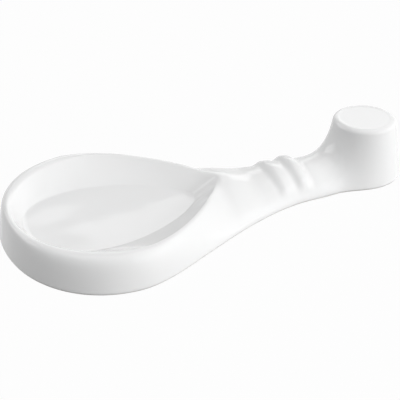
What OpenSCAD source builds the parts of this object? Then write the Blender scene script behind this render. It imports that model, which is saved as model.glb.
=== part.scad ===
// Spoon rest: one porcelain casting with a teardrop bowl, an arched handle with two ridges
// and a drum-shaped knob that stands at the handle's end. The casting is an even wall, open
// from below, and it stands on a narrow bare foot that runs along its whole edge.
// Lengths are in mm. Shape functions measure x ahead of the bowl's widest place.

/* [Bowl outline] */
// Width of the bowl at its widest place
bowl_w = 116; // [104:1:128]
// From the widest place back to the rounded end
bowl_back = 49.8; // [44:0.2:56]
// How square the rounded end is, 2 being an ellipse
back_power = 2.08; // [2:0.02:2.4]
// How early the flanks draw in towards the handle
flank_share = 0.4; // [0:0.05:0.5]

/* [Rim and basin] */
// Height of the rim round the bowl
rim_h = 17.4; // [15.5:0.1:18.5]
// Height of the rim where it meets the handle
tip_h = 16.4; // [15:0.1:18]
// Width of the rim at the rounded end, from its foot to its crest
rim_back_w = 5.5; // [5:0.1:6.5]
// Width of the rim at the bowl's sides, from its foot to its crest
rim_side_w = 8.2; // [7.6:0.1:9]
// From the bowl's widest place to the pointed end of the crest
tip_x = 66.5; // [60:0.5:72]
// From the bowl's widest place to the crest's widest place
crest_x = 7; // [4:0.2:10]
// How strongly the crest draws in to its tip
crest_pinch_share = 0.93; // [0.8:0.01:0.96]
// Height of the basin's floor at its edge
floor_z = 8.3; // [7.2:0.1:9]
// Depth of the dish in the middle of the floor
floor_dish = 0.5; // [0:0.1:1]
// From the crest down the slope to the floor, at the sides
slope_w = 20; // [17:0.5:23]
// From the crest down the slope to the floor, at the rounded end
slope_back_w = 6.3; // [5.6:0.1:8]
// From the crest's tip down the slope to the floor
slope_tip_w = 15.5; // [13:0.1:19]
// From the bowl's widest place back to the floor's widest place
floor_x = 3; // [1:0.2:6]
// How strongly the floor draws in to its front end
floor_pinch_share = 0.5; // [0.2:0.05:0.7]
// How hollow the basin's slope is, 1 being straight
slope_power = 1.2; // [1.05:0.05:1.8]

/* [Handle] */
// From the bowl's widest place to the handle's narrowest place
waist_x = 112; // [104:1:116]
// Width of the handle at its narrowest place
waist_w = 37.4; // [32:0.2:42]
// Height of the handle just before the ridges
handle_h = 13.4; // [13:0.1:16]
// From the bowl's widest place to where that height is reached
handle_x = 85; // [80:1:90]
// Height of the handle past the ridges
waist_h = 12.7; // [12.4:0.1:15]
// From the bowl's widest place to the first ridge
ridge_1_x = 97; // [93:0.5:99]
// From the bowl's widest place to the second ridge
ridge_2_x = 108; // [105:0.5:109]
// Rise of the handle's top line from the ridges to the knob's axis
flare_h = 12; // [6:0.5:18]
// Rise of the first ridge, as a share of the handle's height
ridge_1_share = 0.19; // [0.08:0.01:0.24]
// Rise of the second ridge, as a share of the handle's height
ridge_2_share = 0.29; // [0.1:0.01:0.32]
// Length of each ridge's steep face, which looks at the bowl
ridge_rise_l = 5.5; // [4:0.1:8]
// Length of each ridge's gentle face, which looks at the knob
ridge_fall_l = 12; // [9:0.5:13]
// How far a ridge leans towards the knob on its way down
ridge_slant = 5; // [2:0.5:7]

/* [Knob] */
// From the bowl's widest place to the knob's axis
knob_x = 153.5; // [150:0.5:160]
// Diameter of the knob at its base
knob_d = 43.4; // [40:0.2:46]
// Height of the knob
knob_h = 32.8; // [29:0.2:36]
// Radius of the knob's top edge
knob_edge_r = 2.8; // [1.5:0.1:4]
// How far the knob's wall leans in, for each unit of height
knob_draft_share = 0.15; // [0.1:0.01:0.18]
// Reach of the hollow curve that joins the handle to the knob
blend_l = 15.5; // [13:0.5:17]

/* [Wall and foot] */
// Thickness of the porcelain wall
wall = 4; // [3.6:0.1:4.4]
// How far the outer walls lean in, for each unit of height
draft_share = 0.15; // [0.1:0.01:0.2]
// Height of the bare foot
foot_h = 0.5; // [0.4:0.1:0.8]
// Radius of the glazed edge above the foot
edge_r = 0.6; // [0.4:0.1:1]

/* [Hidden] */

porcelain = "white";
bare_porcelain = "ivory";

// Numbers of steps in the surfaces
bowl_n = 34;
handle_n = 30;
side_n = 9;
slope_n = 7;
floor_n = 3;
knob_n = 15;
knob_edge_n = 4;
knob_wall_n = 9;
search_n = 22;

// How round a side is in section: the rim is squarer than the handle
rim_power = 4.2;
tip_power = 1.47;
handle_power = 1.8;
pinch_power = 1.42;
// How square the outlines of crest and floor are at the bowl's rounded end
crest_power = 2;
floor_power = 2.4;
// Share by which the crest tips outwards along the flanks, and where along the bowl it does
lean_share = 0.33;
lean_shares = [0.38, 0.58, 0.86];
square_shares = [0.4, 0.75];
// How fast the stations of foot and floor spread apart from the crest at the two ends
fan_power = 4;
// The hollow under a rim needs more cover than the wall, because the basin's slope is close
cover_share = 1.3;
draft_limit_share = 0.6;
ridge_fade_shares = [0.1, 0.8];
ridge_end_share = 0.4;
under_share = 2.5;

half_w = bowl_w/2;
side_z = foot_h + edge_r;
crest_half = half_w - rim_side_w;
floor_half = crest_half - slope_w;
crest_back_x = rim_back_w - bowl_back;
floor_back_x = crest_back_x + slope_back_w;
floor_tip_x = tip_x - slope_tip_w;
under_z = max(floor_z - wall, foot_h*under_share);
knob_r = knob_d/2;
cut_x = knob_x - knob_r - blend_l;
middle_x = (knob_x + knob_r - bowl_back)/2;

function ease(t) = let (u = min(max(t, 0), 1)) u*u*(3 - 2*u);
function mix(a, b, t) = a + (b - a)*t;
function flip(p) = [p[0], -p[1], p[2]];
function lift(p, z) = [p[0], p[1], z];

// Half the width of the whole base at x
function half_width(x) =
    x < 0
    ? half_w*pow(max(0, 1 - pow(-x/bowl_back, back_power)), 1/back_power)
    : let (u = min(x/waist_x, 1))
      mix(half_w, waist_w/2, ease(u*(1 + flank_share*pow(1 - u, 2))));

// Half the width of a teardrop at x from its widest place
function egg(x, back, front, half, pinch, power) =
    x < 0
    ? half*pow(max(0, 1 - pow(-x/back, power)), 1/power)
    : let (u = min(x/front, 1))
      half*sqrt(max(0, (1 - u*u)*(1 - pinch*pow(u, pinch_power))));

function crest_width(x) =
    egg(x - crest_x, crest_x - crest_back_x, tip_x - crest_x, crest_half, crest_pinch_share,
        crest_power);
function floor_width(x) =
    egg(x + floor_x, -floor_x - floor_back_x, floor_tip_x + floor_x, floor_half,
        floor_pinch_share, floor_power);

// Height of the handle's top line, without its ridges
function spine(x) =
    x < handle_x
    ? mix(tip_h, handle_h, ease((x - tip_x)/(handle_x - tip_x)))
    : mix(handle_h, waist_h, ease((x - handle_x)/(waist_x - handle_x)))
      + flare_h*pow(max(0, x - cut_x)/(knob_x - cut_x), 2);

// A ridge's section: a steep face up to 0 and a gentle one past it
function step(s) = s < 0 ? ease(1 + s/ridge_rise_l) : ease(1 - s/ridge_fall_l);

// Swelling of the handle at x, where up is the share of the handle's height
function swell(x, up) =
    let (s = x - ridge_slant*(1 - up),
         fade = ease((up - ridge_fade_shares[0])/(ridge_fade_shares[1] - ridge_fade_shares[0])),
         run_out = ease((cut_x - x)/(blend_l*ridge_end_share)))
    1 + (ridge_1_share*step(s - ridge_1_x) + ridge_2_share*step(s - ridge_2_x))*fade*run_out;

// Points up one side, from its foot to its crest. Both ends are given in plan. The outer
// side has inset and cover 0. The hollow's side lies inset behind it and cover below it.
function side(base, top, height, power, lean, inset, cover) =
    let (run = norm(top - base),
         way = (top - base)/run,
         rise = height - cover - side_z,
         drawn = min(draft_share*rise, draft_limit_share*(run - inset)),
         end = 90*(1 - lean))
    concat(
        [for (a = [90, 45])
            let (e = inset > 0 ? inset : edge_r*(1 - cos(a)))
            lift(base + way*e, foot_h + edge_r*(1 - sin(a)))],
        [for (k = [0:side_n])
            let (a = end*k/side_n,
                 up = pow(sin(a)/sin(end), 2/power),
                 over = (1 - pow(max(0, cos(a)), 2/power))/(1 - pow(max(0, cos(end)), 2/power)),
                 e = inset + drawn*up + (run - inset - drawn)*over)
            lift(base + way*e, side_z + rise*up)]);
crest_k = side_n + 2;

// Points of the bowl from the foot over the crest to the floor, at a share of its length
function bowl_row(t, inset) =
    let (cx = mix(crest_back_x, tip_x, t),
         bx = cx - rim_back_w*pow(1 - t, fan_power),
         fx = cx + slope_back_w*pow(1 - t, fan_power) - slope_tip_w*pow(t, fan_power),
         base = [bx, half_width(bx)],
         crest = [cx, crest_width(cx)],
         edge = [fx, floor_width(fx)],
         height = mix(rim_h, tip_h, ease(2*t - 1)),
         square = ease((t - square_shares[0])/(square_shares[1] - square_shares[0])),
         tipping = ease((t - lean_shares[0])/(lean_shares[1] - lean_shares[0]))
                   *(1 - ease((t - lean_shares[2])/(1 - lean_shares[2]))),
         cover = inset*cover_share,
         low = inset > 0 ? under_z : floor_z,
         dish = inset > 0 ? 0 : floor_dish,
         centre = [-floor_x, 0])
    concat(
        side(base, crest, height, mix(rim_power, tip_power, square), lean_share*tipping, inset, cover),
        [for (k = [1:slope_n])
            let (s = k/slope_n)
            lift(mix(crest, edge, s), mix(height - cover, low, 1 - pow(1 - s, slope_power)))],
        [for (k = [1:floor_n])
            let (r = 1 - k/(floor_n + 1))
            lift(mix(centre, edge, r), low - dish*(1 - r*r))]);

// One half of the handle's section at x, from its foot to its top line
function handle_half(x, inset) =
    let (near = ease((x - tip_x)/slope_tip_w),
         cover = inset*mix(cover_share, 1, near),
         power = mix(tip_power, handle_power, near))
    [for (p = side([x, half_width(x)], [x, 0], spine(x), power, 0, inset, cover))
        let (up = (p[2] - side_z)/(spine(x) - cover - side_z),
             b = p[2] > side_z && inset == 0 ? swell(x, up) : 1)
        [x, p[1]*b, p[2]*b]];

// The whole section, from the foot on one side to the foot on the other
function handle_row(x, inset) =
    let (half = handle_half(x, inset))
    concat(half, [for (k = [len(half) - 2:-1:0]) flip(half[k])]);

// How far a point lies outside the handle's end and the knob, which run into each other
function outside(p) =
    let (z = max(p[2] - side_z, 0),
         rise = spine(p[0]) - side_z,
         reach = knob_x - cut_x - knob_r/2,
         drawn = draft_share*rise,
         q = max(abs(p[1]) - draft_share*(rise - z), 0)/(half_width(p[0]) - drawn),
         arch = pow(pow(q, handle_power) + pow(z/rise, handle_power), 1/handle_power),
         nose = max(p[0] - cut_x, 0)/reach,
         to_handle = (norm([nose, arch]) - 1)*waist_h,
         to_knob = norm([p[0] - knob_x, p[1]]) - knob_r + knob_draft_share*z,
         near = max(blend_l - abs(to_handle - to_knob), 0)/blend_l)
    min(to_handle, to_knob) - near*near*blend_l/4;

// The surface's point in a direction from the middle of the knob's base
hub = [knob_x, 0, side_z];
function search(way, inset, low, high, n) =
    let (middle = (low + high)/2)
    n == 0 ? hub + way*middle
    : outside(hub + way*middle) + inset < 0
    ? search(way, inset, middle, high, n - 1)
    : search(way, inset, low, middle, n - 1);
function cast(way, inset) = search(way/norm(way), inset, 0, knob_x, search_n);

// Points of the knob's foot line: one half from its far end to the cut through the handle
corner_angle = atan2(half_width(cut_x), cut_x - knob_x);
function knob_foot(inset) =
    [for (k = [0:knob_n - 1])
        let (a = corner_angle*k/knob_n) cast([cos(a), sin(a), 0], inset)];

// A closed line as a list whose last point is its first: out from the far end, over and back
function loop(half) = concat(half, [for (k = [len(half) - 2:-1:0]) flip(half[k])]);

// Lines of the knob: rings of the top edge, then rings down the wall to the foot and the cut
function circle_half(radius, height, n) =
    [for (k = [0:n]) [knob_x + radius*cos(180*k/n), radius*sin(180*k/n), height]];
function knob_rings(inset) =
    let (r = inset > 0 ? edge_r : knob_edge_r,
         top = knob_h - inset,
         lean = atan(knob_draft_share),
         low = top - r + r*sin(lean),
         flat_r = knob_r - inset - knob_draft_share*(low - side_z) - r*cos(lean),
         arch = handle_half(cut_x, inset),
         foot = concat(knob_foot(inset), [for (k = [2:crest_k]) arch[k]]),
         n = len(foot) - 1,
         edge = circle_half(flat_r + r*cos(lean), low, n))
    concat(
        [for (k = [0:knob_edge_n])
            let (a = mix(90, lean, k/knob_edge_n))
            loop(circle_half(flat_r + r*cos(a), top - r + r*sin(a), n))],
        [for (k = [1:knob_wall_n - 1])
            let (s = k/knob_wall_n)
            loop([for (i = [0:n]) cast(mix(edge[i] - hub, foot[i] - hub, s), inset)])],
        [loop(foot)]);

// The knob's glazed edge at the foot, from one corner of the cut round the far end to the other
function knob_toe(level, inset) =
    let (a = 90/(level + 1),
         e = inset > 0 ? 0 : edge_r*(1 - cos(a)),
         centre = lift(hub, 0),
         half = concat(
            [for (p = knob_foot(inset))
                let (way = lift(p, 0) - centre)
                lift(p - way*(e/norm(way)), foot_h + edge_r*(1 - sin(a)))],
            [handle_half(cut_x, inset)[level]]))
    concat([for (k = [len(half) - 1:-1:1]) flip(half[k])], half);

// Triangles between two lines of equal length, and from a line to one point
function strip(a, b) =
    [for (i = [0:len(a) - 2]) each [[a[i], b[i], b[i + 1]], [a[i], b[i + 1], a[i + 1]]]];
function strips(lines) = [for (i = [0:len(lines) - 2]) each strip(lines[i], lines[i + 1])];
function fan(a, middle) = [for (i = [0:len(a) - 2]) [a[i], middle, a[i + 1]]];
function turned(faces) = [for (f = faces) [f[0], f[2], f[1]]];
function numbers(start, n) = [for (i = [0:n - 1]) start + i];
function flat(lists) = [for (l = lists) each l];
function placed(points) = [for (p = points) p - [middle_x, 0, 0]];

// The bowl: rows run round from one side of the neck to the other, each from foot to floor
module dish() {
    rows = function (inset)
        [for (i = [-bowl_n:bowl_n])
            let (row = bowl_row((1 - cos(180*i/bowl_n))/2, inset))
            i < 0 ? row : [for (p = row) flip(p)]];
    outer = rows(0);
    inner = rows(wall);
    n = len(outer);
    m = len(outer[0]);
    second = n*m + 1;
    ring = function (start, k)
        [for (i = [0:n - 1]) start + (i == n - 1 && k >= crest_k ? 0 : i*m) + k];
    skin = function (start)
        concat(strips([for (k = [0:m - 1]) ring(start, k)]), fan(ring(start, m - 1), start + n*m));
    cut = function (i)
        strip(numbers(i*m, crest_k + 1), numbers(second + i*m, crest_k + 1));
    color(porcelain)
    polyhedron(
        points = placed(concat(
            flat(outer), [[-floor_x, 0, floor_z - floor_dish]],
            flat(inner), [[-floor_x, 0, under_z]])),
        faces = concat(
            skin(0), turned(skin(second)),
            turned(strip(ring(0, 0), ring(second, 0))),
            cut(0), turned(cut(n - 1))));
}

// The handle: whole sections from the neck to the cut at the knob
module handle() {
    rows = function (inset)
        [for (i = [0:handle_n]) handle_row(mix(tip_x, cut_x, i/handle_n), inset)];
    outer = rows(0);
    inner = rows(wall);
    n = len(outer);
    m = len(outer[0]);
    second = n*m;
    skin = function (start) strips([for (i = [0:n - 1]) numbers(start + i*m, m)]);
    edge = function (k)
        strip([for (i = [0:n - 1]) i*m + k], [for (i = [0:n - 1]) second + i*m + k]);
    cut = function (i) strip(numbers(i*m, m), numbers(second + i*m, m));
    color(porcelain)
    polyhedron(
        points = placed(concat(flat(outer), flat(inner))),
        faces = concat(
            skin(0), turned(skin(second)), edge(0), turned(edge(m - 1)),
            turned(cut(0)), cut(n - 1)));
}

// The knob: rings from its top down to the foot, and to the cut through the handle
module knob() {
    outer = knob_rings(0);
    inner = knob_rings(wall);
    m = len(outer[0]);
    n = len(outer);
    t = 2*knob_n + 1;
    shell = function (rings, inset)
        concat(
            [[knob_x, 0, knob_h - inset]], flat(rings), knob_toe(1, inset), knob_toe(0, inset));
    second = 1 + n*m + 2*t;
    ring = function (start, k) concat(numbers(start + 1 + k*m, m - 1), [start + 1 + k*m]);
    foot = function (start, k)
        k == 2
        ? let (last = ring(start, n - 1))
          [for (i = [-knob_n:knob_n]) last[(i + m - 1)%(m - 1)]]
        : numbers(start + 1 + n*m + (1 - k)*t, t);
    skin = function (start)
        concat(
            fan(ring(start, 0), start),
            turned(strips([for (k = [0:n - 1]) ring(start, k)])),
            strips([foot(start, 0), foot(start, 1), foot(start, 2)]));
    arch = function (start)
        let (last = ring(start, n - 1))
        concat(
            [foot(start, 0)[t - 1], foot(start, 1)[t - 1]],
            [for (i = [knob_n:m - 1 - knob_n]) last[i]],
            [foot(start, 1)[0], foot(start, 0)[0]]);
    color(porcelain)
    polyhedron(
        points = placed(concat(shell(outer, 0), shell(inner, wall))),
        faces = concat(
            skin(0), turned(skin(second)),
            turned(strip(foot(0, 0), foot(second, 0))),
            turned(strip(arch(0), arch(second)))));
}

// The bare foot: a flat ring under the casting's whole edge
module foot_rim() {
    line = function (inset)
        let (half = concat(
            [for (i = [0:bowl_n - 1]) bowl_row((1 - cos(180*i/bowl_n))/2, inset)[0]],
            [for (i = [0:handle_n - 1]) handle_half(mix(tip_x, cut_x, i/handle_n), inset)[0]],
            [for (k = [2*knob_n:-1:knob_n]) knob_toe(0, inset)[k]]))
        [for (p = placed(concat(half, [for (k = [len(half) - 2:-1:1]) flip(half[k])]))) [p[0], p[1]]];
    color(bare_porcelain)
    linear_extrude(foot_h)
    difference() {
        polygon(line(0));
        polygon(line(wall));
    }
}

dish();
handle();
knob();
foot_rim();
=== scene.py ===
import math

import bmesh
import bpy
import numpy as np
from mathutils import Matrix, Vector
from mathutils.kdtree import KDTree


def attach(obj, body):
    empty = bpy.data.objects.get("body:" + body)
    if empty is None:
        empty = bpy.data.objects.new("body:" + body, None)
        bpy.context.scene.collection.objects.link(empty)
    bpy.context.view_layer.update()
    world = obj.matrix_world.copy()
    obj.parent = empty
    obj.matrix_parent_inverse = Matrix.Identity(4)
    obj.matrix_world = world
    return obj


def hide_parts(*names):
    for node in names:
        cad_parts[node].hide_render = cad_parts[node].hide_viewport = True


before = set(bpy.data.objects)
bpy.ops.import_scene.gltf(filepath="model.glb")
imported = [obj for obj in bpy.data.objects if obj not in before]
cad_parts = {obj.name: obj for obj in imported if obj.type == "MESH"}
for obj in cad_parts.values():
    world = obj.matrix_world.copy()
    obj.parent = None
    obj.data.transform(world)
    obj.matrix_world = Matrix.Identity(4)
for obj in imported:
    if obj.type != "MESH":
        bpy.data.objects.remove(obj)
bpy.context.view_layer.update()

# The object's sizes are in millimetres. Lengths along it run ahead of the bowl's widest place.
# A name in SQUARE says how square an outline or section is, 2 being an ellipse.

# The bowl's foot, seen from above
BOWL_HALF = 57.9
BOWL_BACK = 49.8
BACK_SQUARE = 2.08
FLANK_SHARE = 0.4

# The bowl's crest
RIM_HEIGHT = 17.9
TIP_HEIGHT = 16.9
RIM_BACK = 5.5
RIM_SIDE = 8.2
RIM_TURN_POWER = 4
TIP = 65.8
TAPER_POWER = 1.42
CREST_WIDEST = 7
CREST_PINCH = 0.93
CREST_SQUARE = 2

# The basin's floor and the slope down to it
FLOOR_HEIGHT = 8.3
FLOOR_DISH = 0.5
FLOOR_WIDEST = 3
FLOOR_PINCH = 0.5
FLOOR_SQUARE = 2.4
SLOPE_SIDE = 20
SLOPE_BACK = 6.3
SLOPE_TIP = 14.8
SLOPE_HOLLOW = 1.06

# The bowl's outer wall, and where along the bowl, as shares of its length, the wall's section
# turns rounder, leans in and stands upright again
RIM_SQUARE = 4.2
RIM_LEAN = 0.33
ROUNDER_FROM, ROUNDER_OVER = 0.4, 0.35
LEAN_FROM, LEAN_OVER = 0.38, 0.2
UPRIGHT_FROM, UPRIGHT_OVER = 0.86, 0.14

# The neck. The bowl's wall turns into the handle's arch over NECK before the tip. The arch is
# lifted to the crest's height there, and the lift fades out over the last NECK_LIFT. Past the
# tip the arch takes the handle's own form over NECK_RUN.
NECK = 20
NECK_LIFT = 15
NECK_RUN = 26
NECK_SQUARE = 1.6

# The handle
HANDLE_HEIGHT = 12.9
HANDLE_LEVEL = 85
HANDLE_SQUARE = 1.8
WAIST = 112
WAIST_HALF = 18.7
WAIST_HEIGHT = 13.6
FLARE = 10

# The ridges: the place of each and its rise as a share of the section, then the form of both
RIDGES = ((97, 0.16), (108, 0.22))
RIDGE_RISE = 5.5
RIDGE_FALL = 12
RIDGE_SLANT = 1.6
RIDGE_FOOT = 0.25
RIDGE_FADE = 0.65
RIDGE_END = 6.2

# The knob and its blend with the handle
KNOB = 153.5
KNOB_RADIUS = 21.7
KNOB_HEIGHT = 32.8
KNOB_EDGE = 2.8
KNOB_DIP = 0.1
KNOB_DIP_SHARE = 0.1
KNOB_DRAFT = 0.15
BLEND = 15.5

# The wall of the whole casting, its draft, and the bare foot under it
WALL = 4
COVER_SHARE = 1.3
DRAFT = 0.15
DRAFT_LIMIT = 0.6
FOOT_HEIGHT = 0.5
FOOT_EDGE = 0.6
FOOT_ARCS = np.radians([90, 67.5, 45, 22.5])

# Sizes that follow from these
SIDE_BASE = FOOT_HEIGHT + FOOT_EDGE
CREST_HALF = BOWL_HALF - RIM_SIDE
FLOOR_HALF = CREST_HALF - SLOPE_SIDE
CREST_BACK = RIM_BACK - BOWL_BACK
FLOOR_BACK = CREST_BACK + SLOPE_BACK
FLOOR_TIP = TIP - SLOPE_TIP
UNDER_FLOOR = FLOOR_HEIGHT - WALL
JOIN = KNOB - KNOB_RADIUS - BLEND
MIDDLE = (KNOB + KNOB_RADIUS - BOWL_BACK)/2

# Numbers of steps over the surface, and how much closer the top's rings lie towards its edge
BOWL_STEPS = 130
HANDLE_STEPS = 90
SIDE_STEPS = 26
SLOPE_STEPS = 34
FLOOR_STEPS = 14
KNOB_STEPS = 44
KNOB_TOP_STEPS = 16
KNOB_EDGE_STEPS = 8
KNOB_WALL_STEPS = 40
KNOB_TOP_SPACING = 1.8
WALL_SAMPLES = 241
HALVINGS = 34
TOE_ROWS = len(FOOT_ARCS)

# From millimetres to metres
METRES = 0.001

# Passes that round the crest, as reach and times, and the rounding of its tip
CREST_ROUNDING = ((2.6, 3), (1.9, 4), (1.3, 6), (0.8, 6))
TIP_ROUNDING = (4.5, 14)
TIP_ZONE = 3

# The lamps: name, place and size in metres, power in watts, and whether the glaze mirrors it
LAMPS = (
    ("key_softbox", (1.25, -1.4, 0.5), (1.7, 1.1), 17, False),
    ("key_sheet", (1.35, -1.4, 0.8), (2.6, 1.4), 7, True),
    ("right_softbox", (1.7, -0.4, 0.6), (1.4, 1.0), 3.5, False),
    ("fill_softbox", (0.3, -0.9, 1.4), (1.8, 1.4), 11.2, False),
    ("top_softbox", (0, 0.1, 1.7), (1.8, 1.4), 4.8, True),
    ("side_softbox", (-1.3, 1.3, 1.0), (1.6, 1.2), 11, True),
    ("back_softbox", (0.82, 1.54, 0.75), (1.3, 0.62), 2.4, True),
)
# How strongly the room lights, and how much of the floor that the camera sees is its own glow
ROOM_LIGHT = 0.2
FLOOR_GLOW = 0.97
# The floor's radius, and how far it lies under the object, in millimetres
FLOOR_RADIUS = 6000
FLOOR_DROP = 0.05

# The viewpoint, in degrees and millimetres. The eye is VIEW_BACK away from a point that lies
# AIM_RIGHT and AIM_UP of the place VIEW_MIDDLE behind the object's middle.
VIEW_TURN, VIEW_TILT, VIEW_ROLL = 24.35, 30.5, 0.11
VIEW_BACK, AIM_RIGHT, AIM_UP = 509.545, 42.974, 13.390
VIEW_MIDDLE = 54.7
SENSOR, LENS = 36, 90


def ease(t):
    """Rises from 0 to 1 without a kink as t does, and stays level on both sides."""
    u = np.clip(t, 0, 1)
    return u*u*(3 - 2*u)


def mix(a, b, t):
    return a + (b - a)*t


def half_width(x):
    """Half the width of the casting's foot at x."""
    back = BOWL_HALF*np.maximum(0, 1 - np.maximum(-x/BOWL_BACK, 0)**BACK_SQUARE)**(1/BACK_SQUARE)
    u = np.clip(x/WAIST, 0, 1)
    return np.where(x < 0, back, mix(BOWL_HALF, WAIST_HALF, ease(u*(1 + FLANK_SHARE*(1 - u)**2))))


def teardrop(x, back, front, half, pinch, square):
    """Half the width of a teardrop at x from its widest place."""
    if x < 0:
        return half*max(0, 1 - (-x/back)**square)**(1/square)
    u = min(x/front, 1)
    return half*math.sqrt(max(0, (1 - u*u)*(1 - pinch*u**TAPER_POWER)))


def top_line(x):
    """Height of the handle's top line without its ridges."""
    neck = mix(TIP_HEIGHT, HANDLE_HEIGHT, ease((x - TIP)/(HANDLE_LEVEL - TIP)))
    waist = mix(HANDLE_HEIGHT, WAIST_HEIGHT, ease((x - HANDLE_LEVEL)/(WAIST - HANDLE_LEVEL)))
    flare = FLARE*(np.maximum(0, x - JOIN)/(KNOB - JOIN))**2
    return np.where(x < HANDLE_LEVEL, neck, waist + flare)


def swelling(x, up):
    """How much the two ridges swell the handle at x, at a share of its height."""
    place = x - RIDGE_SLANT*(1 - up)
    fade = ease((up - RIDGE_FOOT)/RIDGE_FADE)*ease((JOIN - x)/RIDGE_END)
    total = 1
    for middle, rise in RIDGES:
        s = place - middle
        total = total + rise*np.where(s < 0, ease(1 + s/RIDGE_RISE), ease(1 - s/RIDGE_FALL))*fade
    return total


def along(points, shares):
    """Points at some shares of a line's length."""
    length = np.concatenate([[0], np.cumsum(np.linalg.norm(np.diff(points, axis=0), axis=1))])
    return np.column_stack([np.interp(shares*length[-1], length, c) for c in points.T])


def wall_line(base, top, height, square, lean, inset=0, cover=0, reach=None):
    """Points up a wall from its foot to its crest; the hollow's wall lies inset behind it.
    A wall with a reach ends that far in from its foot."""
    base, top = np.array(base, float), np.array(top, float)
    run = np.linalg.norm(top - base)
    way = (top - base)/run
    rise = height - cover - SIDE_BASE
    drawn = min(DRAFT*rise, DRAFT_LIMIT*(run - inset))
    toe_in = np.full(len(FOOT_ARCS), float(inset)) if inset else FOOT_EDGE*(1 - np.cos(FOOT_ARCS))
    toe_z = FOOT_HEIGHT + FOOT_EDGE*(1 - np.sin(FOOT_ARCS))
    end = math.radians(90*(1 - lean))
    a = end*np.linspace(0, 1, WALL_SAMPLES)
    up = (np.sin(a)/math.sin(end))**(2/square)
    fold = 1 - np.maximum(0, np.cos(a))**(2/square)
    over = fold/fold[-1]
    side = np.column_stack([inset + drawn*up + (run - inset - drawn)*over, SIDE_BASE + rise*up])
    if reach:
        kept = side[side[:, 0] < reach]
        side = np.vstack([kept, [reach, np.interp(reach, side[:, 0], side[:, 1])]])
    side = along(side, np.linspace(0, 1, SIDE_STEPS + 1))
    far = np.concatenate([toe_in, side[:, 0]])
    z = np.concatenate([toe_z, side[:, 1]])
    return np.column_stack([base[0] + way[0]*far, base[1] + way[1]*far, z])


CREST = SIDE_STEPS + TOE_ROWS


def into_neck(wall, base, crest, height, square):
    """The bowl's wall as it turns into the handle's arch, near the tip."""
    share = float(ease((crest[0] - TIP + NECK)/NECK))
    if not share:
        return wall
    arch = wall_line(base, (crest[0], 0), height, square, 0, reach=np.linalg.norm(crest - base))
    side = arch[TOE_ROWS:, 2]
    lift = (height - side[-1])/(side[-1] - SIDE_BASE)*float(ease((TIP - crest[0])/NECK_LIFT))
    side += lift*(side - SIDE_BASE)
    return mix(wall, arch, share)


def bowl_line(t, inset=0):
    """Points of the bowl from its foot over the crest to the floor, at a share of its length."""
    crest_x = mix(CREST_BACK, TIP, t)
    base_x = crest_x - RIM_BACK*(1 - t)**RIM_TURN_POWER
    edge_x = crest_x + SLOPE_BACK*(1 - t)**RIM_TURN_POWER - SLOPE_TIP*t**RIM_TURN_POWER
    crest = np.array([crest_x, teardrop(crest_x - CREST_WIDEST, CREST_WIDEST - CREST_BACK,
                                        TIP - CREST_WIDEST, CREST_HALF, CREST_PINCH,
                                        CREST_SQUARE)])
    edge = np.array([edge_x, teardrop(edge_x + FLOOR_WIDEST, -FLOOR_WIDEST - FLOOR_BACK,
                                      FLOOR_TIP + FLOOR_WIDEST, FLOOR_HALF, FLOOR_PINCH,
                                      FLOOR_SQUARE)])
    height = mix(RIM_HEIGHT, TIP_HEIGHT, ease(2*t - 1))
    square = mix(RIM_SQUARE, NECK_SQUARE, ease((t - ROUNDER_FROM)/ROUNDER_OVER))
    lean = (RIM_LEAN*ease((t - LEAN_FROM)/LEAN_OVER)
            *(1 - ease((t - UPRIGHT_FROM)/UPRIGHT_OVER)))
    cover = inset*COVER_SHARE
    low, dish = (UNDER_FLOOR, 0) if inset else (FLOOR_HEIGHT, FLOOR_DISH)
    base = np.array([base_x, half_width(base_x)])
    wall = wall_line(base, crest, height, square, lean, inset, cover)
    if not inset:
        wall = into_neck(wall, base, crest, height, square)
    s = np.linspace(0, 1, SLOPE_STEPS + 1)[1:, None]
    slope = np.hstack([mix(crest, edge, s), mix(wall[-1, 2], low, 1 - (1 - s)**SLOPE_HOLLOW)])
    r = 1 - np.linspace(0, 1, FLOOR_STEPS + 2)[1:-1, None]
    centre = np.array([-FLOOR_WIDEST, 0])
    floor = np.hstack([mix(centre, edge, r), low - dish*(1 - r*r)])
    return np.vstack([wall, slope, floor])


def handle_half(x, inset=0):
    """One half of the handle's section at x, from its foot to its top line."""
    near = float(ease((x - TIP)/SLOPE_TIP))
    cover = inset*mix(COVER_SHARE, 1, near)
    height = float(top_line(x))
    square = mix(NECK_SQUARE, HANDLE_SQUARE, float(ease((x - TIP)/NECK_RUN)))
    line = wall_line((x, half_width(x)), (x, 0), height, square, 0, inset, cover)
    if not inset:
        side = line[TOE_ROWS:]
        side[:, 1:] *= swelling(x, (side[:, 2:] - SIDE_BASE)/(height - SIDE_BASE))
    return line


def mirrored(line):
    """A whole section from one half of it, which ends on the middle plane."""
    return np.vstack([line, line[-2::-1]*[1, -1, 1]])


def outside(p):
    """How far points lie outside the handle's end and the knob, which run into each other."""
    z = np.maximum(p[:, 2] - SIDE_BASE, 0)
    rise = top_line(p[:, 0]) - SIDE_BASE
    width = half_width(p[:, 0]) - DRAFT*rise
    q = np.maximum(np.abs(p[:, 1]) - DRAFT*(rise - z), 0)/width
    nose = np.maximum(p[:, 0] - JOIN, 0)/(KNOB - JOIN - KNOB_RADIUS/2)
    arch = (q**HANDLE_SQUARE + (z/rise)**HANDLE_SQUARE)**(1/HANDLE_SQUARE)
    to_handle = (np.hypot(nose, arch) - 1)*WAIST_HEIGHT
    to_knob = np.hypot(p[:, 0] - KNOB, p[:, 1]) - KNOB_RADIUS + KNOB_DRAFT*z
    near = np.maximum(BLEND - np.abs(to_handle - to_knob), 0)/BLEND
    return np.minimum(to_handle, to_knob) - near*near*BLEND/4


HUB = np.array([KNOB, 0, SIDE_BASE])


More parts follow.
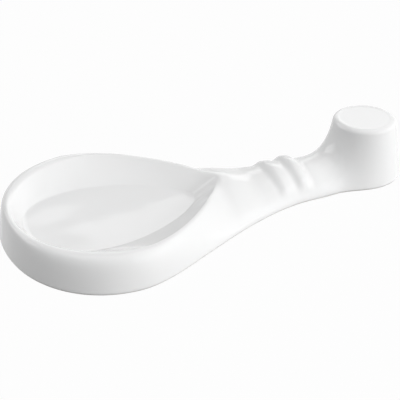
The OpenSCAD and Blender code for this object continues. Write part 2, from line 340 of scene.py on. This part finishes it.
def cast(ways, inset=0):
    """The surface's points in some directions from the middle of the knob's base."""
    ways = ways/np.linalg.norm(ways, axis=1, keepdims=True)
    low, high = np.zeros((len(ways), 1)), np.full((len(ways), 1), float(KNOB))
    for _ in range(HALVINGS):
        middle = (low + high)/2
        within = (outside(HUB + ways*middle) + inset < 0)[:, None]
        low, high = np.where(within, middle, low), np.where(within, high, middle)
    return HUB + ways*(low + high)/2


def circle_half(radius, height, n):
    """Half a level circle round the knob's middle, in n steps."""
    a = np.linspace(0, math.pi, n + 1)
    return np.column_stack([KNOB + radius*np.cos(a), radius*np.sin(a), np.full(n + 1, height)])


def knob_foot(inset):
    """The knob's outline at its base, from its end to just before the join with the handle."""
    corner = math.atan2(half_width(JOIN), JOIN - KNOB)
    a = corner*np.arange(KNOB_STEPS)/KNOB_STEPS
    return cast(np.column_stack([np.cos(a), np.sin(a), 0*a]), inset)


def knob_rings(inset=0):
    """Closed lines of the knob, from its top edge down the wall to the foot and the join."""
    r = FOOT_EDGE if inset else KNOB_EDGE
    top = KNOB_HEIGHT - inset
    lean = math.atan(KNOB_DRAFT)
    low = top - r + r*math.sin(lean)
    flat = KNOB_RADIUS - inset - KNOB_DRAFT*(low - SIDE_BASE) - r*math.cos(lean)
    foot = np.vstack([knob_foot(inset), handle_half(JOIN, inset)[TOE_ROWS:]])
    n = len(foot) - 1
    edge = circle_half(flat + r*math.cos(lean), low, n)
    dip = 0 if inset else KNOB_DIP
    rings = [circle_half(flat*share, top - dip*float(ease((1 - share)/KNOB_DIP_SHARE)), n)
             for share in 1 - np.linspace(1, 0, KNOB_TOP_STEPS + 1)[1:-1]**KNOB_TOP_SPACING]
    for a in np.linspace(math.pi/2, lean, KNOB_EDGE_STEPS + 1):
        rings.append(circle_half(flat + r*math.cos(a), top - r + r*math.sin(a), n))
    for s in np.linspace(0, 1, KNOB_WALL_STEPS + 1)[1:-1]:
        rings.append(cast(mix(edge - HUB, foot - HUB, s), inset))
    return [mirrored(half)[:-1] for half in rings + [foot]]


def knob_toe(inset=0):
    """Lines of the glazed edge under the knob, between the two corners of the join."""
    corner = handle_half(JOIN, inset)
    foot = knob_foot(inset)
    way = (foot - HUB)*[1, 1, 0]
    way /= np.linalg.norm(way, axis=1, keepdims=True)
    lines = []
    for level, a in enumerate(FOOT_ARCS):
        e = 0 if inset else FOOT_EDGE*(1 - math.cos(a))
        z = FOOT_HEIGHT + FOOT_EDGE*(1 - math.sin(a))
        half = np.vstack([foot*[1, 1, 0] - way*e + [0, 0, z], corner[level]])
        lines.append(np.vstack([half[:0:-1]*[1, -1, 1], half]))
    return lines


class Skin:
    """A mesh under construction: points are welded where rows meet, and faces join rows."""

    def __init__(self):
        self.mesh = bmesh.new()

    def row(self, points):
        return [self.mesh.verts.new((p - [MIDDLE, 0, 0])*METRES) for p in points]

    def join(self, a, b, turned=False, closed=False):
        n = len(a)
        for i in range(n if closed else n - 1):
            j = (i + 1) % n
            face = [a[i], b[i], b[j], a[j]]
            self.mesh.faces.new(face[::-1] if turned else face)

    def fan(self, ring, middle, turned=False):
        for i, v in enumerate(ring):
            w = ring[(i + 1) % len(ring)]
            self.mesh.faces.new([v, w, middle] if turned else [w, v, middle])

    def weld(self):
        bmesh.ops.remove_doubles(self.mesh, verts=self.mesh.verts, dist=1e-7)

    def soften(self, line, reach, times):
        """Rounds the surface within reach of a line, as a thick glaze does."""
        tree = KDTree(len(line))
        for i, p in enumerate(line):
            tree.insert((p - [MIDDLE, 0, 0])*METRES, i)
        tree.balance()
        near = [v for v in self.mesh.verts if tree.find(v.co)[2] < reach*METRES]
        for _ in range(times):
            bmesh.ops.smooth_vert(self.mesh, verts=near, factor=0.5, use_axis_x=True,
                                  use_axis_y=True, use_axis_z=True)

    def piece(self, name, material):
        bmesh.ops.recalc_face_normals(self.mesh, faces=self.mesh.faces)
        for face in self.mesh.faces:
            face.smooth = True
        data = bpy.data.meshes.new(name)
        self.mesh.to_mesh(data)
        self.mesh.free()
        data.materials.append(material)
        made = bpy.data.objects.new(name, data)
        bpy.context.scene.collection.objects.link(made)
        return made


def stations():
    """Shares of the bowl's length, closer together at both ends."""
    return (1 - np.cos(np.linspace(0, math.pi, BOWL_STEPS + 1)))/2


def cover_shell(skin, inset):
    """One side of the whole casting: the glazed outside, or the hollow below with an inset."""
    inner = inset > 0
    halves = [bowl_line(t, inset) for t in stations()]
    spread = [half*[1, -1, 1] for half in halves[:0:-1]] + halves
    rows = [skin.row(points) for points in spread]
    for a, b in zip(rows, rows[1:]):
        skin.join(a, b, turned=inner)
    low = UNDER_FLOOR if inner else FLOOR_HEIGHT - FLOOR_DISH
    centre = skin.row([np.array([-FLOOR_WIDEST, 0, low])])[0]
    ring = [row[-1] for row in rows[:-1]]
    skin.fan(ring, centre, turned=inner)

    sections = [mirrored(handle_half(x, inset))
                for x in np.linspace(TIP, JOIN, HANDLE_STEPS + 1)]
    lines = [skin.row(points) for points in sections]
    for a, b in zip(lines, lines[1:]):
        skin.join(a, b, turned=inner)

    rings = [skin.row(points) for points in knob_rings(inset)]
    top = skin.row([np.array([KNOB, 0, KNOB_HEIGHT - (inset or KNOB_DIP)])])[0]
    skin.fan(rings[0], top, turned=not inner)
    for a, b in zip(rings, rings[1:]):
        skin.join(a, b, turned=inner, closed=True)
    toes = [skin.row(points) for points in knob_toe(inset)]
    n = len(rings[-1])
    last = [rings[-1][i % n] for i in range(-KNOB_STEPS, KNOB_STEPS + 1)]
    for a, b in zip(toes, toes[1:] + [last]):
        skin.join(a, b, turned=not inner)


def foot_outline(inset):
    """The bottom line of the casting's wall, all round."""
    bowl = [bowl_line(t, inset)[0] for t in stations()[:-1]]
    handle = [handle_half(x, inset)[0] for x in np.linspace(TIP, JOIN, HANDLE_STEPS + 1)[:-1]]
    knob = knob_toe(inset)[0][KNOB_STEPS:][::-1]
    half = np.vstack([bowl, handle, knob])
    return np.vstack([half, half[-2:0:-1]*[1, -1, 1]])


class Wire:
    """An output of a node. Arithmetic on wires adds Math nodes to the same material."""

    def __init__(self, tree, socket=None):
        self.tree, self.socket = tree, socket

    def node(self, kind, settings=None, inputs=None, out=0):
        """Adds a node with its settings, then its sockets' values or links."""
        made = self.tree.nodes.new(kind)
        for name, value in (settings or {}).items():
            setattr(made, name, value)
        for name, value in (inputs or {}).items():
            if isinstance(value, Wire):
                self.tree.links.new(value.socket, made.inputs[name])
            else:
                made.inputs[name].default_value = value
        return Wire(self.tree, made.outputs[out] if made.outputs else None)

    def math(self, operation, a, b=0.0):
        return self.node("ShaderNodeMath", {"operation": operation}, {0: a, 1: b})

    def __add__(self, other):
        return self.math("ADD", self, other)

    def __mul__(self, other):
        return self.math("MULTIPLY", self, other)

    __radd__ = __add__
    __rmul__ = __mul__


def new_material(name):
    material = bpy.data.materials.new(name)
    material.use_nodes = True
    material.node_tree.nodes.clear()
    return material, Wire(material.node_tree)


def shade(base, colour_a, colour_b, factor):
    return base.node("ShaderNodeMix", {"data_type": "RGBA"},
                     {0: factor, 6: (*colour_a, 1), 7: (*colour_b, 1)}, out=2)


def glaze():
    """Clear glossy glaze on white porcelain: softly wavy, its depth and tone varying at random."""
    material, base = new_material("white_glaze")
    place = base.node("ShaderNodeTexCoord", out="Object")
    waves = base.node("ShaderNodeTexNoise", None,
                      {"Vector": place, "Scale": 32.0, "Detail": 1.0, "Roughness": 0.3})
    peel = base.node("ShaderNodeTexNoise", None,
                     {"Vector": place, "Scale": 420.0, "Detail": 2.0, "Roughness": 0.5})
    depth = base.node("ShaderNodeTexNoise", None,
                      {"Vector": place, "Scale": 22.0, "Detail": 3.0, "Roughness": 0.55})
    normal = base.node("ShaderNodeBump", None,
                       {"Strength": 1.0, "Distance": 0.001, "Height": waves*0.5 + peel*0.002})
    colour = shade(base, (0.868, 0.868, 0.866), (0.832, 0.836, 0.838), depth)
    surface = base.node("ShaderNodeBsdfPrincipled", None,
                        {"Base Color": colour, "Roughness": 0.035 + depth*0.04, "Normal": normal,
                         "IOR": 1.5})
    base.node("ShaderNodeOutputMaterial", None, {"Surface": surface})
    return material


def bare_clay():
    """Fired porcelain without glaze: dry, finely grained and a little worn."""
    material, base = new_material("bare_porcelain")
    place = base.node("ShaderNodeTexCoord", out="Object")
    grain = base.node("ShaderNodeTexNoise", None,
                      {"Vector": place, "Scale": 2600.0, "Detail": 3.0, "Roughness": 0.6})
    rubbed = base.node("ShaderNodeTexNoise", None,
                       {"Vector": place, "Scale": 160.0, "Detail": 4.0, "Roughness": 0.6})
    normal = base.node("ShaderNodeBump", None,
                       {"Strength": 1.0, "Distance": 0.0001, "Height": grain})
    colour = shade(base, (0.80, 0.785, 0.755), (0.68, 0.665, 0.635), rubbed*0.7 + grain*0.3)
    surface = base.node("ShaderNodeBsdfPrincipled", None,
                        {"Base Color": colour, "Roughness": 0.7 + grain*0.2, "Normal": normal,
                         "IOR": 1.45})
    base.node("ShaderNodeOutputMaterial", None, {"Surface": surface})
    return material


def is_seen(base):
    """1 for the camera's rays, also mirrored or seen through, and 0 for rays that carry light."""
    camera, glossy, through = (base.node("ShaderNodeLightPath", out=name) for name in
                               ("Is Camera Ray", "Is Glossy Ray", "Is Transmission Ray"))
    return base.math("MINIMUM", camera + glossy + through, 1.0)


def floor_sheet():
    """A white sheet that looks white to the camera and still holds the object's shadow."""
    material, base = new_material("floor_sheet")
    matte = base.node("ShaderNodeBsdfDiffuse", None, {"Color": (0.5, 0.5, 0.5, 1)})
    glow = base.node("ShaderNodeEmission", None, {"Color": (1, 1, 1, 1), "Strength": 1.0})
    surface = base.node("ShaderNodeMixShader", None,
                        {0: is_seen(base)*FLOOR_GLOW, 1: matte, 2: glow})
    base.node("ShaderNodeOutputMaterial", None, {"Surface": surface})
    return material


def make_casting():
    """The porcelain with its glaze: the outside, the hollow and the line of the foot."""
    skin = Skin()
    cover_shell(skin, 0)
    cover_shell(skin, WALL)
    outer, inner = skin.row(foot_outline(0)), skin.row(foot_outline(WALL))
    skin.join(outer, inner, closed=True)
    skin.weld()
    half = np.array([bowl_line(t)[CREST] for t in stations()])
    crest = np.vstack([half, half*[1, -1, 1]])
    for reach, times in CREST_ROUNDING:
        skin.soften(crest, reach, times)
    skin.soften(crest[np.abs(crest[:, 0] - TIP) < TIP_ZONE], *TIP_ROUNDING)
    made = skin.piece("glazed_casting", glaze())
    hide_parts("dish", "handle", "knob")
    return made


def make_foot():
    """The bare strip on which the casting stands."""
    skin = Skin()
    lines = []
    for inset in (0, WALL):
        outline = foot_outline(inset)
        lines.append([skin.row(outline*[1, 1, 0]), skin.row(outline)])
    (outer_low, outer_top), (inner_low, inner_top) = lines
    skin.join(outer_low, outer_top, closed=True)
    skin.join(outer_top, inner_top, closed=True)
    skin.join(inner_top, inner_low, closed=True)
    skin.join(inner_low, outer_low, closed=True)
    skin.weld()
    made = skin.piece("bare_foot", bare_clay())
    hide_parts("foot_rim")
    return made


def make_floor():
    data = bpy.data.meshes.new("floor")
    mesh = bmesh.new()
    bmesh.ops.create_circle(mesh, cap_ends=True, segments=96,
                            radius=FLOOR_RADIUS*METRES)
    mesh.to_mesh(data)
    mesh.free()
    data.materials.append(floor_sheet())
    floor = bpy.data.objects.new("floor", data)
    floor.location.z = -FLOOR_DROP*METRES
    bpy.context.scene.collection.objects.link(floor)


def softbox(name, place, size, power, mirrored_in_glaze):
    """A rectangular lamp that shines from its place to the floor under the object's middle."""
    data = bpy.data.lights.new(name, "AREA")
    data.shape = "RECTANGLE"
    data.size, data.size_y = size
    data.energy = power
    lamp = bpy.data.objects.new(name, data)
    bpy.context.scene.collection.objects.link(lamp)
    lamp.visible_camera = False
    lamp.visible_glossy = mirrored_in_glaze
    way = -Vector(place).normalized()
    lamp.matrix_world = (Matrix.Translation(place)
                         @ way.to_track_quat("-Z", "Y").to_matrix().to_4x4())


def light_room():
    """A white room that lights little by itself, and the lamps."""
    world = bpy.data.worlds.new("room")
    bpy.context.scene.world = world
    world.use_nodes = True
    world.node_tree.nodes.clear()
    base = Wire(world.node_tree)
    room = base.node("ShaderNodeBackground", None, {"Color": (1, 1, 1, 1), "Strength": ROOM_LIGHT})
    white = base.node("ShaderNodeBackground", None, {"Color": (1, 1, 1, 1), "Strength": 1.0})
    surface = base.node("ShaderNodeMixShader", None, {0: is_seen(base), 1: room, 2: white})
    base.node("ShaderNodeOutputWorld", None, {"Surface": surface})
    for lamp in LAMPS:
        softbox(*lamp)


def place_camera():
    """The photograph's viewpoint: its turn, tilt, distance and focal length."""
    turn, tilt, roll = (math.radians(v) for v in (VIEW_TURN, VIEW_TILT, VIEW_ROLL))
    ahead = np.array([math.sin(turn)*math.cos(tilt), math.cos(turn)*math.cos(tilt),
                      -math.sin(tilt)])
    level = np.array([math.cos(turn), -math.sin(turn), 0])
    steep = np.cross(level, ahead)
    right = math.cos(roll)*level + math.sin(roll)*steep
    up = math.cos(roll)*steep - math.sin(roll)*level
    eye = (AIM_RIGHT*right + AIM_UP*up - VIEW_BACK*ahead - [VIEW_MIDDLE, 0, 0])*METRES
    data = bpy.data.cameras.new("camera")
    data.sensor_width, data.lens = SENSOR, LENS
    data.clip_start, data.clip_end = 0.01, 50
    camera = bpy.data.objects.new("camera", data)
    bpy.context.scene.collection.objects.link(camera)
    columns = np.column_stack([right, up, -ahead])
    camera.matrix_world = Matrix.Translation(eye.tolist()) @ Matrix(columns.tolist()).to_4x4()
    bpy.context.scene.camera = camera


casting = make_casting()
foot = make_foot()
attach(casting, "root")
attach(foot, "root")
make_floor()
light_room()
place_camera()
bpy.context.scene.view_settings.view_transform = "Standard"
